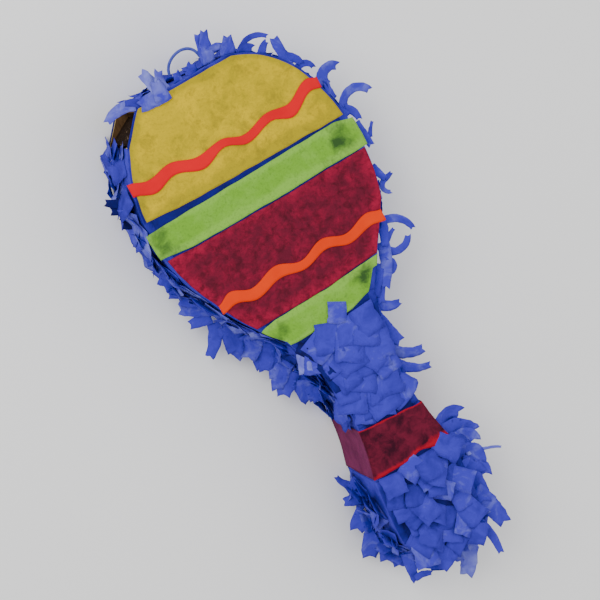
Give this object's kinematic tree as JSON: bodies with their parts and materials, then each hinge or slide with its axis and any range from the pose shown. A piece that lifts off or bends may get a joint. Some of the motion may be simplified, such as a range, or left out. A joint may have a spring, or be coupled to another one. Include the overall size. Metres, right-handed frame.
{
  "type": "pinata",
  "caption": "Flat cardboard maraca pinata with blue tissue fringe, coloured paper bands, two waves across the head, a hanging loop and a fill flap in the head's side wall.",
  "frame": {"origin": "middle of the rectangle that the pinata covers on the table it lies on, at the table's height", "axes": "+Z out of the decorated front face, +Y along the length from the handle to the top of the head, +X to the right of the front face"},
  "size_m": [0.272, 0.602, 0.0941],
  "materials": {
    "cardboard": "matte, corrugated board",
    "flap_board": "matte, thin board",
    "masking_tape": "matte, creped tape",
    "blue_cord": "matte, thin twisted cord",
    "blue_tissue": "matte, crinkled crepe tissue, a little translucent",
    "blue_tissue_back": "matte, layered flat tissue",
    "mustard_paper": "matte, faintly mottled",
    "green_paper": "matte, blotched",
    "dark_red_paper": "matte, mottled maroon and crimson",
    "crimson_paper": "matte, mottled maroon and crimson",
    "red_foam": "matte craft foam",
    "orange_foam": "matte craft foam"
  },
  "bodies": {
    "shell": {"back_cover": "blue_tissue_back", "back_panel": "cardboard", "front_panel": "cardboard", "head_wall_top": "cardboard", "head_wall_right": "cardboard", "head_wall_left": "cardboard", "handle_wall_right": "cardboard", "handle_wall_left": "cardboard", "handle_wall_end": "cardboard", "wall_joint_tapes": "masking_tape", "front_seam_tape": "masking_tape", "back_seam_tape": "masking_tape", "hanger_plate": "cardboard", "hanging_cord": "blue_cord", "cord_knot_left": "blue_cord", "cord_knot_right": "blue_cord", "front_tissue": "blue_tissue", "yellow_panel": "mustard_paper", "upper_green_band": "green_paper", "red_panel": "dark_red_paper", "lower_green_band": "green_paper", "red_wave": "red_foam", "orange_wave": "orange_foam", "handle_band": "crimson_paper", "neck_petals": "blue_tissue", "knob_petals": "blue_tissue", "crown_fringe": "blue_tissue", "head_right_fringe": "blue_tissue", "head_left_fringe": "blue_tissue", "neck_right_fringe": "blue_tissue", "neck_left_fringe": "blue_tissue", "knob_right_fringe": "blue_tissue", "knob_left_fringe": "blue_tissue", "knob_end_fringe": "blue_tissue"},
    "flap": {"fill_flap": "flap_board"}
  },
  "joints": [
    {"name": "flap_fold", "type": "hinge", "parent": "shell", "child": "flap", "pos_m": [-0.09355, 0.24352, 0.043], "axis": [0, 0, -1], "range_deg": [-20, 80]}
  ]
}
